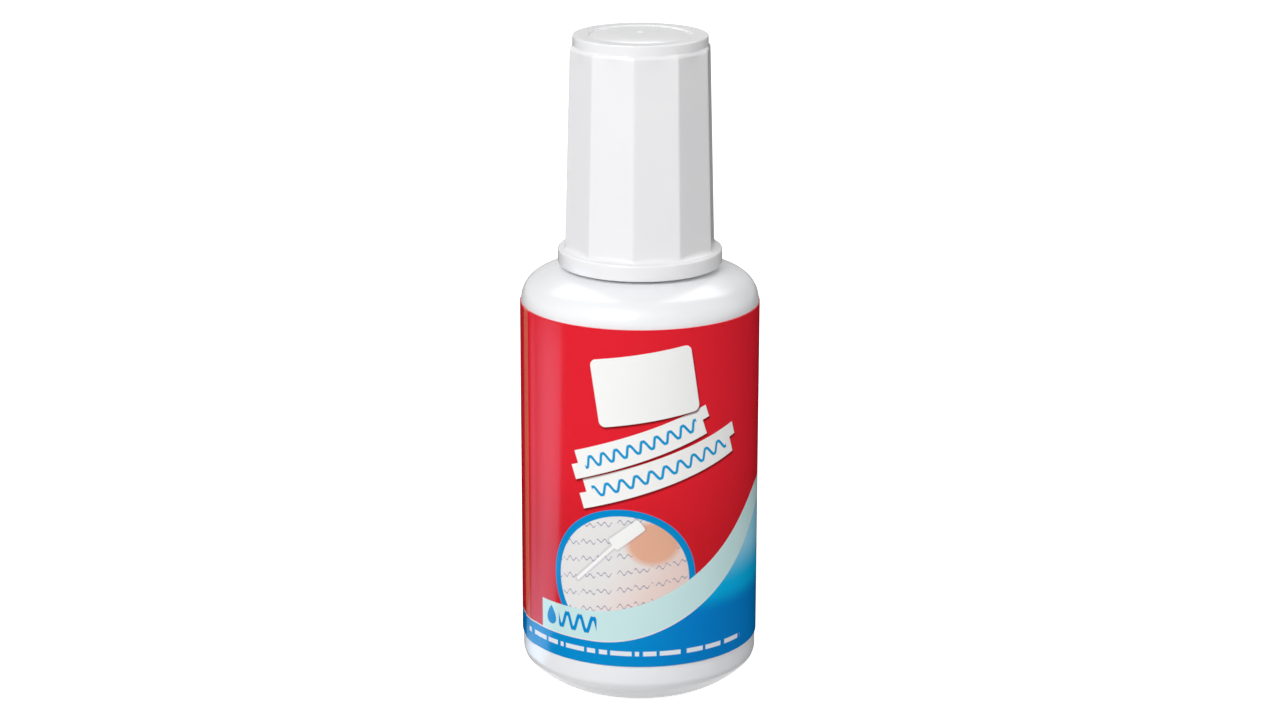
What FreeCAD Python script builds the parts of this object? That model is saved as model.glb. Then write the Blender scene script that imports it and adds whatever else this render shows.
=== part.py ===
import FreeCAD, Part
import math
import os
import re
import Sketcher

# Correction fluid bottle of 20 ml: a moulded bottle with a wrap-round label, a neck wiper,
# a mixing ball, the fluid, and a ten-sided screw cap that carries the brush.
# Origin on the axis at the base, +Z up, the label's front towards -Y. Millimetres and degrees.

# Driving sizes. Each name becomes an alias in the document's sheet.
SIZES = {
    # bottle
    "body_radius": 14.78,
    "body_wall": 1.1,
    "corner_radius": 1.9,
    "heel_radius": 11.5,
    "corner_reach": 8.75,
    "ring_width": 1.8,
    "pushup_depth": 0.9,
    "shoulder_start": 50.2,
    "shoulder_corner_radius": 3.4,
    "shoulder_crown_radius": 13.0,
    "neck_radius": 6.5,
    "neck_wall": 1.3,
    "neck_height": 10.6,
    "neck_root_radius": 0.6,
    # label round the straight wall
    "label_bottom": 6.85,
    "label_margin": 0.15,
    "label_thickness": 0.12,
    "label_glue": 0.02,
    "overlap_angle": 12.0,
    "seam_angle": 73.0,
    # wiper plug in the neck
    "wiper_clearance": 0.05,
    "wiper_flange_radius": 6.3,
    "wiper_flange_thickness": 0.6,
    "wiper_wall": 0.6,
    "wiper_depth": 4.2,
    "funnel_drop": 1.8,
    "wiper_lip": 0.5,
    "wiping_gap": 0.35,
    # sealing washer under the stem's disc
    "liner_radius": 6.8,
    "liner_thickness": 1.0,
    "liner_gap": 0.25,
    # applicator
    "stem_radius": 2.0,
    "stem_tip_radius": 1.75,
    "stem_tip_length": 8.0,
    "stem_end": 19.0,
    "disc_radius": 6.7,
    "disc_thickness": 1.0,
    "head_radius": 3.0,
    "head_length": 9.0,
    "head_lead": 0.6,
    "snap_groove_depth": 0.3,
    "snap_groove_width": 0.9,
    "tuft_socket_radius": 1.3,
    "tuft_socket_depth": 5.0,
    "tuft_clearance": 0.04,
    "tuft_end": 4.6,
    "tuft_tip_radius": 0.7,
    "tuft_belly_radius": 44.0,
    "tuft_groove_radius": 0.3,
    "tuft_groove_place": 1.75,
    "tuft_groove_count": 12,
    "anchor_width": 2.4,
    "anchor_thickness": 0.4,
    "anchor_height": 1.6,
    # what the bottle holds
    "ball_radius": 2.5,
    "ball_gap": 0.1,
    "fluid_level": 36.0,
    "fluid_gap": 0.05,
    "well_gap": 0.5,
    # cap
    "cap_gap": 0.15,
    "cap_height": 28.55,
    "flange_radius": 10.2,
    "flange_height": 2.05,
    "flange_edge_radius": 0.5,
    "flange_rise": 0.3,
    "facet_count": 10,
    "facet_turn_angle": -5.0,
    "facet_bottom_radius": 9.5,
    "facet_top_radius": 8.8,
    "facet_edge_radius": 0.6,
    "rim_radius": 8.3,
    "rim_height": 1.2,
    "rim_edge_radius": 0.3,
    "crown_reach": 6.2,
    "crown_rise": 0.5,
    "crown_step": 0.2,
    "crown_slope": 0.15,
    "gate_radius": 0.5,
    "gate_height": 0.1,
    "cap_top_wall": 1.4,
    "bore_radius": 7.35,
    "bore_lead": 0.4,
    "cavity_bottom_radius": 7.2,
    "cavity_top_radius": 6.9,
    "socket_clearance": 0.05,
    "boss_radius": 4.2,
    "rib_thickness": 0.9,
    "rib_count": 5,
    "joining_sink": 0.2,
}

# Sizes that follow from them, as expressions on the sheet.
NECK_FOOT = "(neck_radius + neck_root_radius)"
SHOULDER_SPAN = f"(body_radius - shoulder_corner_radius - {NECK_FOOT})"
SHOULDER_BEND = "(shoulder_crown_radius - shoulder_corner_radius)"
SHOULDER_ANGLE = f"acos({SHOULDER_SPAN} / {SHOULDER_BEND})"
SHOULDER_TOP = f"(shoulder_start + shoulder_crown_radius - {SHOULDER_BEND} * sin({SHOULDER_ANGLE}))"
NECK_TOP = f"({SHOULDER_TOP} + neck_height)"
NECK_BORE = "(neck_radius - neck_wall)"
WIPER_TOP = f"({NECK_TOP} + wiper_flange_thickness)"
LINER_TOP = f"({WIPER_TOP} + liner_thickness)"
DISC_TOP = f"({LINER_TOP} + disc_thickness)"
SOCKET_TOP = "(stem_end + tuft_socket_depth)"
CAP_BOTTOM = f"({SHOULDER_TOP} + cap_gap)"
CAP_TOP = f"({CAP_BOTTOM} + cap_height)"
FLANGE_TOP = f"({CAP_BOTTOM} + flange_height)"
FACET_TOP = f"({CAP_TOP} - rim_height)"
CROWN_EDGE = f"({CAP_TOP} - crown_step)"
CROWN_BEND = "((crown_reach ^ 2 + crown_rise ^ 2) / (2 * crown_rise))"
CROWN_TOP = f"({CROWN_EDGE} + crown_rise)"
CAVITY_TOP = f"({CROWN_EDGE} - cap_top_wall)"
CORNER_ANGLE = "acos((corner_reach - corner_radius) / (heel_radius - corner_radius))"
CORNER_TOP = f"(heel_radius - (heel_radius - corner_radius) * sin({CORNER_ANGLE}))"
FLOOR_EDGE = "(body_radius - corner_reach)"
DOME_RADIUS = f"((({FLOOR_EDGE} - ring_width) ^ 2 + pushup_depth ^ 2) / (2 * pushup_depth))"
BALL_HEIGHT = "(body_wall + ball_gap + ball_radius)"

document = FreeCAD.newDocument("CorrectionFluidBottle")
sheet = document.addObject("Spreadsheet::Sheet", "Sizes")


def fill_sheet():
    """Writes each driving size in its own row, with its name beside it and as its alias."""
    for row, (name, number) in enumerate(SIZES.items(), start=1):
        sheet.set(f"A{row}", name.replace("_", " "))
        sheet.set(f"B{row}", str(number))
        sheet.setAlias(f"B{row}", name)
    document.recompute()


def bound(expression):
    """Names the sheet before each of its sizes, as the other objects have to."""
    return re.sub(r"[a-z]+(?:_[a-z]+)+", r"Sizes.\g<0>", expression)


def value(expression):
    """Gives an expression's number."""
    return float(sheet.evalExpression(expression))


def bind(thing, property_name, expression):
    """Ties a property to an expression on the sheet."""
    thing.setExpression(property_name, bound(expression))


def new_body(label):
    """Starts a sub-part that is built by features."""
    body = document.addObject("PartDesign::Body", "Body_" + label)
    body.Label = label
    return body


def new_sketch(body, name, role="XZ_Plane", height=None, turn=None):
    """Puts a sketch on one of the body's own planes, raised and turned where that is asked."""
    sketch = body.newObject("Sketcher::SketchObject", name)
    plane = [item for item in body.Origin.OriginFeatures if item.Role == role][0]
    sketch.AttachmentSupport = [(plane, "")]
    sketch.MapMode = "FlatFace"
    if height:
        bind(sketch, "AttachmentOffset.Base.z", height)
    if turn:
        bind(sketch, "AttachmentOffset.Rotation.Angle", turn)
    return sketch


def name_and_bind(sketch, index, name, expression):
    """Names a constraint and ties it to the sheet."""
    sketch.renameConstraint(index, name)
    bind(sketch, "Constraints." + name, expression)


def arc_between(start, end, radius, side):
    """A short arc; side is 1 where its centre lies to the left on the way, -1 to the right."""
    along, up = end[0] - start[0], end[1] - start[1]
    chord = math.hypot(along, up)
    rise = side * math.sqrt(max(radius ** 2 - chord ** 2 / 4, 0.0)) / chord
    centre = FreeCAD.Vector((start[0] + end[0]) / 2 - up * rise, (start[1] + end[1]) / 2 + along * rise, 0)
    first, last = (start, end) if side > 0 else (end, start)
    angles = [math.atan2(point[1] - centre.y, point[0] - centre.x) for point in (first, last)]
    if angles[1] < angles[0]:
        angles[1] += 2 * math.pi
    return Part.ArcOfCircle(Part.Circle(centre, FreeCAD.Vector(0, 0, 1), radius), angles[0], angles[1])


def outline(sketch, points, arcs):
    """Draws a closed outline through points given as expressions.

    arcs gives the radius and side of each edge that isn't straight, by the number of its first point.
    """
    places = [(value(across), value(up)) for across, up in points]
    count = len(points)
    starts, ends = [], []
    for number in range(count):
        start, end = places[number], places[(number + 1) % count]
        if number in arcs:
            radius, side = arcs[number]
            edge = sketch.addGeometry(arc_between(start, end, value(radius), side), False)
            held = sketch.addConstraint(Sketcher.Constraint("Radius", edge, value(radius)))
            name_and_bind(sketch, held, f"bend_{number}", radius)
            starts.append((edge, 1 if side > 0 else 2))
            ends.append((edge, 2 if side > 0 else 1))
        else:
            line = Part.LineSegment(FreeCAD.Vector(*start, 0), FreeCAD.Vector(*end, 0))
            edge = sketch.addGeometry(line, False)
            starts.append((edge, 1))
            ends.append((edge, 2))
    for number in range(count):
        sketch.addConstraint(Sketcher.Constraint("Coincident", *ends[number - 1], *starts[number]))
    for number, (across, up) in enumerate(points):
        for kind, axis, text, place in (("DistanceX", -2, across, 0), ("DistanceY", -1, up, 1)):
            if text == "0":
                sketch.addConstraint(Sketcher.Constraint("PointOnObject", *starts[number], axis))
                continue
            size = places[number][place]
            held = sketch.addConstraint(Sketcher.Constraint(kind, -1, 1, *starts[number], size))
            name_and_bind(sketch, held, f"{'across' if place == 0 else 'up'}_{number}", text)


def circle_on_axis(sketch, radius, across):
    """Draws a circle with its centre out along the sketch's own axis."""
    centre = FreeCAD.Vector(value(across), 0, 0)
    circle = Part.Circle(centre, FreeCAD.Vector(0, 0, 1), value(radius))
    edge = sketch.addGeometry(circle, False)
    sketch.addConstraint(Sketcher.Constraint("PointOnObject", edge, 3, -1))
    held = sketch.addConstraint(Sketcher.Constraint("Radius", edge, value(radius)))
    name_and_bind(sketch, held, "radius", radius)
    held = sketch.addConstraint(Sketcher.Constraint("DistanceX", -1, 1, edge, 3, value(across)))
    name_and_bind(sketch, held, "across", across)


def turned(body, name, points, arcs=None, cut=False):
    """Revolves an outline about the body's axis, as added or as removed material."""
    sketch = new_sketch(body, name + "_outline")
    outline(sketch, points, arcs or {})
    feature = body.newObject("PartDesign::Groove" if cut else "PartDesign::Revolution", name)
    feature.Profile = sketch
    feature.ReferenceAxis = (sketch, ["V_Axis"])
    feature.Angle = 360.0
    return feature


def around(body, name, feature, count):
    """Repeats a feature round the body's axis."""
    axis = [item for item in body.Origin.OriginFeatures if item.Role == "Z_Axis"][0]
    pattern = body.newObject("PartDesign::PolarPattern", name)
    pattern.Originals = [feature]
    pattern.Axis = (axis, [""])
    pattern.Angle = 360.0
    bind(pattern, "Occurrences", count)
    body.Tip = pattern
    return pattern


def base_outline(offset):
    """Half of the base and the foot of the wall, a distance in from the outside, from the axis outwards."""
    floor_reach = f"sqrt(({DOME_RADIUS} + {offset}) ^ 2 - ({DOME_RADIUS} - pushup_depth + {offset}) ^ 2)"
    across = f"body_radius - corner_radius + (corner_radius - {offset}) * cos({CORNER_ANGLE})"
    up = f"{CORNER_TOP} - (corner_radius - {offset}) * sin({CORNER_ANGLE})"
    points = [
        ("0", f"pushup_depth + {offset}"),
        (floor_reach, offset),
        (FLOOR_EDGE, offset),
        (across, up),
        (f"body_radius - {offset}", CORNER_TOP),
    ]
    arcs = {
        0: (f"{DOME_RADIUS} + {offset}", -1),
        2: (f"heel_radius - {offset}", 1),
        3: (f"corner_radius - {offset}", 1),
    }
    return points, arcs


def shoulder_join(offset):
    """Where the shoulder's corner arc runs into its crown arc, a distance in from the outside."""
    return (
        f"body_radius - shoulder_corner_radius + (shoulder_corner_radius - {offset}) * cos({SHOULDER_ANGLE})",
        f"shoulder_start + (shoulder_corner_radius - {offset}) * sin({SHOULDER_ANGLE})",
    )


def backwards(points, arcs, first):
    """The same stretch drawn the other way, with its arcs numbered from its new first point."""
    last = len(points) - 1
    turned_arcs = {first + last - 1 - number: (radius, -side) for number, (radius, side) in arcs.items()}
    return points[::-1], turned_arcs


def build_bottle():
    """Blow-moulded bottle: domed base, straight wall, round shoulder and straight neck, open at the top."""
    body = new_body("bottle")
    points, arcs = base_outline("0")
    points += [
        ("body_radius", "shoulder_start"),
        shoulder_join("0"),
        (NECK_FOOT, SHOULDER_TOP),
        ("neck_radius", f"{SHOULDER_TOP} + neck_root_radius"),
        ("neck_radius", NECK_TOP),
        (NECK_BORE, NECK_TOP),
        (NECK_BORE, f"{SHOULDER_TOP} - body_wall"),
        (NECK_FOOT, f"{SHOULDER_TOP} - body_wall"),
        shoulder_join("body_wall"),
        ("body_radius - body_wall", "shoulder_start"),
    ]
    arcs[5] = ("shoulder_corner_radius", 1)
    arcs[6] = ("shoulder_crown_radius", 1)
    arcs[7] = ("neck_root_radius", -1)
    arcs[12] = ("shoulder_crown_radius - body_wall", -1)
    arcs[13] = ("shoulder_corner_radius - body_wall", -1)
    inside, inside_arcs = backwards(*base_outline("body_wall"), first=len(points))
    turned(body, "bottle_wall", points + inside, {**arcs, **inside_arcs})
    return body


def cylinder(name, radius, height, bottom, sweep=None, start=None):
    """A plain cylinder on the axis, or a wedge of one."""
    shape = document.addObject("Part::Cylinder", name)
    bind(shape, "Radius", radius)
    bind(shape, "Height", height)
    bind(shape, "Placement.Base.z", bottom)
    if sweep:
        bind(shape, "Angle", sweep)
        bind(shape, "Placement.Rotation.Angle", start)
    return shape


def minus(name, base, tool):
    """One shape with another removed."""
    cut = document.addObject("Part::Cut", name)
    cut.Base = base
    cut.Tool = tool
    return cut


def build_label():
    """Wrap-round label, glued to itself over a narrow strip at its seam."""
    inner = "body_radius + label_glue"
    middle = f"{inner} + label_thickness"
    outer = f"{inner} + 2 * label_thickness"
    height = "shoulder_start - label_margin - label_bottom"
    seam = "270 - seam_angle"
    sleeve = minus(
        "label_sleeve",
        cylinder("label_outside", middle, height, "label_bottom"),
        cylinder("label_inside", inner, height, "label_bottom"),
    )
    strip = minus(
        "label_strip",
        cylinder("strip_outside", outer, height, "label_bottom", "overlap_angle", seam),
        cylinder("strip_inside", inner, height, "label_bottom"),
    )
    label = document.addObject("Part::MultiFuse", "Label_film")
    label.Shapes = [sleeve, strip]
    label.Label = "label"
    return label


def build_wiper():
    """Plug in the neck: a flange on the rim, a short sleeve and a funnel down to the wiping lip."""
    body = new_body("neck_wiper")
    plug = f"{NECK_BORE} - wiper_clearance"
    hole = "stem_radius + wiping_gap"
    funnel_top = f"{WIPER_TOP} - wiper_depth"
    turned(body, "wiper_wall", [
        ("wiper_flange_radius", NECK_TOP),
        ("wiper_flange_radius", WIPER_TOP),
        (f"{plug} - wiper_wall", WIPER_TOP),
        (f"{plug} - wiper_wall", funnel_top),
        (hole, f"{funnel_top} - funnel_drop"),
        (hole, f"{funnel_top} - funnel_drop - wiper_lip"),
        (plug, f"{funnel_top} - wiper_lip"),
        (plug, NECK_TOP),
    ])
    return body


def build_liner():
    """Loose sealing washer, pressed between the stem's disc and the wiper."""
    body = new_body("cap_liner")
    hole = "stem_radius + liner_gap"
    turned(body, "liner_ring", [
        (hole, WIPER_TOP),
        ("liner_radius", WIPER_TOP),
        ("liner_radius", LINER_TOP),
        (hole, LINER_TOP),
    ])
    return body


def build_stem():
    """Moulded rod: a grooved head for the cap's socket, a disc over the washer and a hollow tip."""
    body = new_body("applicator_stem")
    head_top = f"{DISC_TOP} + head_length"
    groove_top = f"{DISC_TOP} + head_length / 2 + snap_groove_width / 2"
    groove_bottom = f"{DISC_TOP} + head_length / 2 - snap_groove_width / 2"
    turned(body, "stem_rod", [
        ("0", SOCKET_TOP),
        ("tuft_socket_radius", SOCKET_TOP),
        ("tuft_socket_radius", "stem_end"),
        ("stem_tip_radius", "stem_end"),
        ("stem_tip_radius", "stem_end + stem_tip_length"),
        ("stem_radius", "stem_end + stem_tip_length + stem_radius - stem_tip_radius"),
        ("stem_radius", LINER_TOP),
        ("disc_radius", LINER_TOP),
        ("disc_radius", DISC_TOP),
        ("head_radius", DISC_TOP),
        ("head_radius", groove_bottom),
        ("head_radius - snap_groove_depth", groove_bottom),
        ("head_radius - snap_groove_depth", groove_top),
        ("head_radius", groove_top),
        ("head_radius", f"{head_top} - head_lead"),
        ("head_radius - head_lead", head_top),
        ("0", head_top),
    ])
    return body


def build_tuft():
    """Brush tuft: swelling below the stem and drawn in to a soft tip, fluted into bundles of bristles."""
    body = new_body("brush_tuft")
    root = "tuft_socket_radius - tuft_clearance"
    top = f"{SOCKET_TOP} - tuft_clearance"
    turned(body, "tuft_bundle", [
        ("0", "tuft_end"),
        ("tuft_tip_radius", "tuft_end + tuft_tip_radius"),
        (root, "stem_end - tuft_clearance"),
        (root, top),
        ("0", top),
    ], {0: ("tuft_tip_radius", 1), 1: ("tuft_belly_radius", 1)})
    slot_outline = new_sketch(body, "anchor_slot_outline")
    slot_floor = f"{top} - anchor_height - tuft_clearance"
    outline(slot_outline, [("0", slot_floor), (root, slot_floor), (root, top), ("0", top)], {})
    slot = body.newObject("PartDesign::Pocket", "anchor_slot")
    slot.Profile = slot_outline
    slot.Midplane = True
    bind(slot, "Length", "anchor_thickness + 2 * tuft_clearance")
    document.recompute()
    around(body, "anchor_slot_ends", slot, "2")
    flute_outline = new_sketch(body, "flute_outline", "XY_Plane", height="stem_end - tuft_clearance")
    circle_on_axis(flute_outline, "tuft_groove_radius", "tuft_groove_place")
    flute = body.newObject("PartDesign::Pocket", "bristle_flute")
    flute.Profile = flute_outline
    bind(flute, "Length", "stem_end - tuft_end")
    document.recompute()
    around(body, "bristle_flutes", flute, "tuft_groove_count")
    return body


def build_anchor():
    """Small metal staple that holds the folded bristles in the stem."""
    anchor = document.addObject("Part::Box", "Anchor_plate")
    anchor.Label = "tuft_anchor"
    bind(anchor, "Length", "anchor_width")
    bind(anchor, "Width", "anchor_thickness")
    bind(anchor, "Height", "anchor_height")
    bind(anchor, "Placement.Base.x", "-anchor_width / 2")
    bind(anchor, "Placement.Base.y", "-anchor_thickness / 2")
    bind(anchor, "Placement.Base.z", f"{SOCKET_TOP} - tuft_clearance - anchor_height")
    return anchor


def build_ball():
    """Steel ball that stirs the fluid, resting on the floor beside the brush."""
    ball = document.addObject("Part::Sphere", "Ball")
    ball.Label = "mixing_ball"
    bind(ball, "Radius", "ball_radius")
    bind(ball, "Placement.Base.x", FLOOR_EDGE)
    bind(ball, "Placement.Base.z", BALL_HEIGHT)
    return ball


def build_fluid():
    """The fill, up to its level, clear of the brush's path and of the ball."""
    body = new_body("correction_fluid")
    offset = "(body_wall + fluid_gap)"
    points, arcs = base_outline(offset)
    well = "stem_radius + well_gap"
    well_floor = f"pushup_depth + {offset}"
    points = [(well, f"{well_floor} + well_gap")] + points[1:]
    points += [(f"body_radius - {offset}", "fluid_level"), (well, "fluid_level")]
    del arcs[0]
    turned(body, "fluid_fill", points, arcs)
    pocket = body.newObject("PartDesign::SubtractiveSphere", "ball_pocket")
    bind(pocket, "Radius", "ball_radius + ball_gap")
    bind(pocket, "Placement.Base.x", FLOOR_EDGE)
    bind(pocket, "Placement.Base.z", BALL_HEIGHT)
    return body


def polygon(sketch, sides, radius):
    """A regular outline with its first corner on the sketch's own axis."""
    size = value(radius)
    centre = FreeCAD.Vector(0, 0, 0)
    ring = sketch.addGeometry(Part.Circle(centre, FreeCAD.Vector(0, 0, 1), size), True)
    sketch.addConstraint(Sketcher.Constraint("Coincident", ring, 3, -1, 1))
    held = sketch.addConstraint(Sketcher.Constraint("Radius", ring, size))
    name_and_bind(sketch, held, "corner_circle", radius)
    corners = [FreeCAD.Vector(size, 0, 0)]
    for step in range(1, sides):
        turn = 2 * math.pi * step / sides
        corners.append(FreeCAD.Vector(size * math.cos(turn), size * math.sin(turn), 0))
    edges = []
    for number in range(sides):
        line = Part.LineSegment(corners[number], corners[(number + 1) % sides])
        edges.append(sketch.addGeometry(line, False))
    for number, edge in enumerate(edges):
        sketch.addConstraint(Sketcher.Constraint("Coincident", edges[number - 1], 2, edge, 1))
        sketch.addConstraint(Sketcher.Constraint("PointOnObject", edge, 1, ring))
        if number:
            sketch.addConstraint(Sketcher.Constraint("Equal", edges[0], edge))
    sketch.addConstraint(Sketcher.Constraint("PointOnObject", edges[0], 1, -1))


def build_cap():
    """Ten-sided tapered screw cap with a flange, a crowned top, a bore, and a ribbed boss for the stem."""
    body = new_body("cap")
    foot_height = f"{FLANGE_TOP} - joining_sink"
    facet_foot = new_sketch(body, "facet_foot", "XY_Plane", foot_height, "facet_turn_angle - 90")
    polygon(facet_foot, int(value("facet_count")), "facet_bottom_radius")
    prism = body.newObject("PartDesign::Pad", "facet_prism")
    prism.Profile = facet_foot
    bind(prism, "Length", f"{FACET_TOP} - ({foot_height})")
    document.recompute()
    sides = []
    for number, face in enumerate(prism.Shape.Faces, start=1):
        slope = face.normalAt(0, 0).z
        if slope < -0.5:
            foot = f"Face{number}"
        elif slope < 0.5:
            sides.append(f"Face{number}")
    taper = body.newObject("PartDesign::Draft", "facet_taper")
    taper.Base = (prism, sides)
    taper.NeutralPlane = (prism, [foot])
    lean = "(facet_bottom_radius - facet_top_radius) * cos(180 / facet_count)"
    bind(taper, "Angle", f"atan({lean} / ({FACET_TOP} - ({foot_height})))")
    document.recompute()
    soft_edges = []
    for number, edge in enumerate(taper.Shape.Edges, start=1):
        if max(vertex.Z for vertex in edge.Vertexes) > value(foot_height) + value("joining_sink"):
            soft_edges.append(f"Edge{number}")
    rounding = body.newObject("PartDesign::Fillet", "facet_edges")
    rounding.Base = (taper, soft_edges)
    bind(rounding, "Radius", "facet_edge_radius")
    turned(body, "flange", [
        ("0", CAP_BOTTOM),
        ("flange_radius - flange_edge_radius", CAP_BOTTOM),
        ("flange_radius", f"{CAP_BOTTOM} + flange_edge_radius"),
        ("flange_radius", f"{FLANGE_TOP} - flange_edge_radius"),
        ("flange_radius - flange_edge_radius", FLANGE_TOP),
        ("cavity_top_radius", f"{FLANGE_TOP} + flange_rise"),
        ("0", f"{FLANGE_TOP} + flange_rise"),
    ], {1: ("flange_edge_radius", 1), 3: ("flange_edge_radius", 1)})
    turned(body, "rim", [
        ("0", f"{FACET_TOP} - joining_sink"),
        ("rim_radius", f"{FACET_TOP} - joining_sink"),
        ("rim_radius", f"{CAP_TOP} - rim_edge_radius"),
        ("rim_radius - rim_edge_radius", CAP_TOP),
        ("crown_reach + crown_slope", CAP_TOP),
        ("crown_reach", CROWN_EDGE),
        ("gate_radius", f"{CROWN_TOP} - {CROWN_BEND} + sqrt({CROWN_BEND} ^ 2 - gate_radius ^ 2)"),
        ("gate_radius", f"{CROWN_TOP} + gate_height"),
        ("0", f"{CROWN_TOP} + gate_height"),
    ], {2: ("rim_edge_radius", 1), 5: (CROWN_BEND, 1)})
    turned(body, "hollow", [
        ("0", CAP_BOTTOM),
        ("bore_radius + bore_lead", CAP_BOTTOM),
        ("bore_radius", f"{CAP_BOTTOM} + bore_lead"),
        ("bore_radius", DISC_TOP),
        ("cavity_bottom_radius", DISC_TOP),
        ("cavity_top_radius", CAVITY_TOP),
        ("0", CAVITY_TOP),
    ], cut=True)
    socket = "head_radius + socket_clearance"
    turned(body, "boss", [
        (socket, DISC_TOP),
        ("boss_radius", DISC_TOP),
        ("boss_radius", f"{CAVITY_TOP} + joining_sink"),
        (socket, f"{CAVITY_TOP} + joining_sink"),
    ])
    rib_outline = new_sketch(body, "rib_outline")
    rib_foot = "boss_radius - joining_sink"
    outline(rib_outline, [
        (rib_foot, DISC_TOP),
        ("cavity_bottom_radius + joining_sink", DISC_TOP),
        ("cavity_top_radius + joining_sink", f"{CAVITY_TOP} + joining_sink"),
        (rib_foot, f"{CAVITY_TOP} + joining_sink"),
    ], {})
    rib = body.newObject("PartDesign::Pad", "rib")
    rib.Profile = rib_outline
    rib.Midplane = True
    bind(rib, "Length", "rib_thickness")
    document.recompute()
    around(body, "ribs", rib, "rib_count")
    return body


def check_and_export(parts):
    """Stops at a failed feature or a bad solid, and writes one file for each sub-part."""
    document.recompute()
    for item in document.Objects:
        if {"Invalid", "Error"} & set(item.State):
            raise RuntimeError(f"{item.Label} did not build: {item.State}")
    os.makedirs("parts", exist_ok=True)
    for part in parts:
        shape = part.Shape
        if shape.isNull() or not shape.isValid() or not shape.Solids:
            raise RuntimeError(f"{part.Label} has no valid solid")
        shape.exportStep(f"parts/{part.Label}.step")
        box = shape.BoundBox
        print(f"{part.Label}: {len(shape.Solids)} solid, {shape.Volume:.1f} mm3,"
              f" z {box.ZMin:.2f} to {box.ZMax:.2f}, x {box.XMin:.2f} to {box.XMax:.2f}")


fill_sheet()
check_and_export([
    build_bottle(),
    build_label(),
    build_wiper(),
    build_liner(),
    build_stem(),
    build_tuft(),
    build_anchor(),
    build_ball(),
    build_fluid(),
    build_cap(),
])
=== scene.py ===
import math

import bmesh
import bpy
import numpy as np
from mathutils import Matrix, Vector


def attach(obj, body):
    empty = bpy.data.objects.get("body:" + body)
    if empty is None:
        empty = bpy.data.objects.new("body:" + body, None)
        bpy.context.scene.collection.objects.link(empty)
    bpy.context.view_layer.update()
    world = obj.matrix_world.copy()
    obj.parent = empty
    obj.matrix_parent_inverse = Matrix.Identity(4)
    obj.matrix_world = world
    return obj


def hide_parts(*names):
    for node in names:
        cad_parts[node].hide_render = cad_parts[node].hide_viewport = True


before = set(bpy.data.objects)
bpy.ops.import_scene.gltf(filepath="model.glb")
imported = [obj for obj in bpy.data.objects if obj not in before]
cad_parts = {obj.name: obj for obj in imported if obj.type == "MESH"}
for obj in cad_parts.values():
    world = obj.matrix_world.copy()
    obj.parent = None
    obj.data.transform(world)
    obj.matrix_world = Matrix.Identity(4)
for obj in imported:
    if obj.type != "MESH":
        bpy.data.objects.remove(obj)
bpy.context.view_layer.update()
mm = 0.001
mergeDistance = 1e-7      # metres
shortestStep = 1e-5       # a profile's points lie further apart than this
longestBend = 0.45        # of a straight stretch
toneTurn = (0.3, 0.7)     # of the noise, where one tone turns to the other
black, bright = (0.0, 0.0, 0.0, 1.0), (1.0, 1.0, 1.0, 1.0)


# shapes: every size below is in millimetres, and turns are degrees from -Y towards +X

def arc(across, up, radius, start, end, steps):
    # points (across + radius cos a, up + radius sin a) while a runs from start to end
    a = np.radians(np.linspace(start, end, steps))
    return np.column_stack((across + radius * np.cos(a), up + radius * np.sin(a)))


def line(start, end, steps=1):
    # points start + share (end - start) while share runs from 0 to 1
    share = np.linspace(0.0, 1.0, steps + 1)[:, None]
    return np.array(start, float) * (1 - share) + np.array(end, float) * share


def chain(*stretches):
    # one run of points, without those that repeat the point before
    points = np.vstack(stretches)
    step = np.linalg.norm(np.diff(points, axis=0), axis=1)
    return points[np.concatenate(([True], step > shortestStep))]


def rounded(corners, radius, steps=4):
    # a run of straight stretches whose inner corners are cut by a curve:
    # (1-t)^2 before + 2 t (1-t) corner + t^2 after, with before and after one radius away
    corners = np.array(corners, float)
    radii = np.broadcast_to(radius, len(corners) - 2)[:, None]
    towards = np.diff(corners, axis=0)
    length = np.linalg.norm(towards, axis=1)[:, None]
    unit = towards / length
    reach = np.minimum(radii, longestBend * np.minimum(length[:-1], length[1:]))
    before = corners[1:-1] - unit[:-1] * reach
    after = corners[1:-1] + unit[1:] * reach
    t = np.linspace(0.0, 1.0, steps + 1)[None, :, None]
    bends = (1 - t) ** 2 * before[:, None] + t ** 2 * after[:, None] + 2 * t * (1 - t) * corners[1:-1, None]
    return chain(corners[:1], bends.reshape(-1, 2), corners[-1:])


def evenTurns(count):
    return np.radians(np.arange(count) * 360.0 / count)


def smoothStep(value, low, high):
    # 3 t^2 - 2 t^3 with t = (value - low) / (high - low), held between 0 and 1
    t = np.clip((value - low) / (high - low), 0.0, 1.0)
    return t * t * (3 - 2 * t)


def around(radii, heights, turns):
    # x = r sin turn, y = -r cos turn, z = height, for a row of points at each height
    radii, heights, turns = np.broadcast_arrays(radii, heights, turns[None, :])
    return np.stack((radii * np.sin(turns), -radii * np.cos(turns), heights), axis=-1)


def gridFaces(rows, columns, wrapRows=False):
    # four corners of each cell; the last column meets the first
    row = np.arange(rows if wrapRows else rows - 1)[:, None]
    column = np.arange(columns)[None, :]
    above, beside = (row + 1) % rows, (column + 1) % columns
    here, over = row * columns, above * columns
    corners = (here + column, here + beside, over + beside, over + column)
    return np.stack(np.broadcast_arrays(*corners), axis=-1).reshape(-1, 4)


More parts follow.
